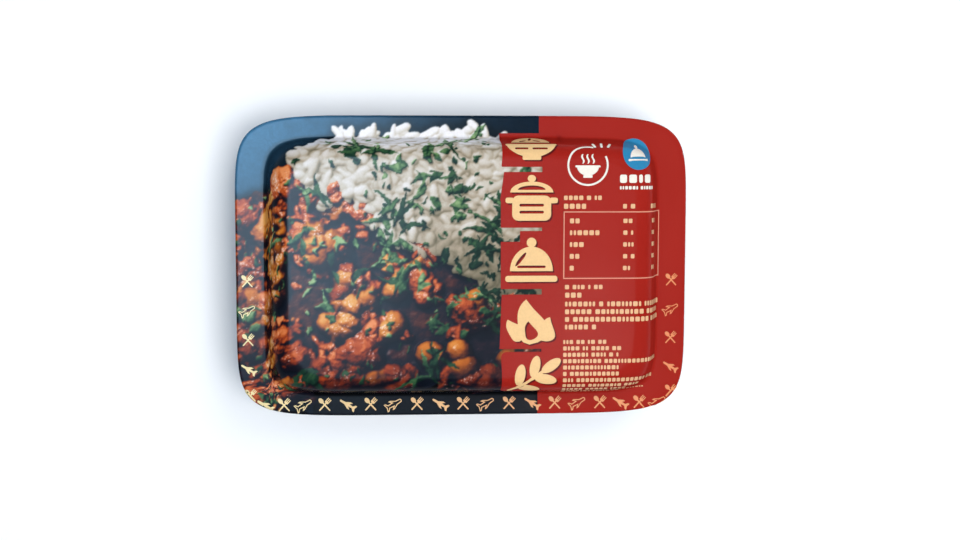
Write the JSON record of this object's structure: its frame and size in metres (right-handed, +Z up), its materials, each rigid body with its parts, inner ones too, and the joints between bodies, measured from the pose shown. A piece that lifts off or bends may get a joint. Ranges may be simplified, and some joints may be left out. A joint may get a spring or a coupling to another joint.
{
  "type": "sealed airline meal pack",
  "caption": "Shut rectangular meal pack: a deep moulded tray under a printed lid with a raised middle panel, a wide flange and a skirt round the rim.",
  "frame": {"origin": "middle of the pack's foot, on the surface that it stands on", "axes": "+X along the pack's length, from the pictured end to the plain end of the lid's print; +Y across it, towards the top of the print; +Z up"},
  "size_m": [0.18, 0.12, 0.0515],
  "materials": {
    "printed_lid": "gloss film print over moulded plastic",
    "tray_plastic": "satin moulded plastic"
  },
  "bodies": {
    "root": {"lid": "printed_lid", "tray": "tray_plastic"}
  },
  "joints": []
}
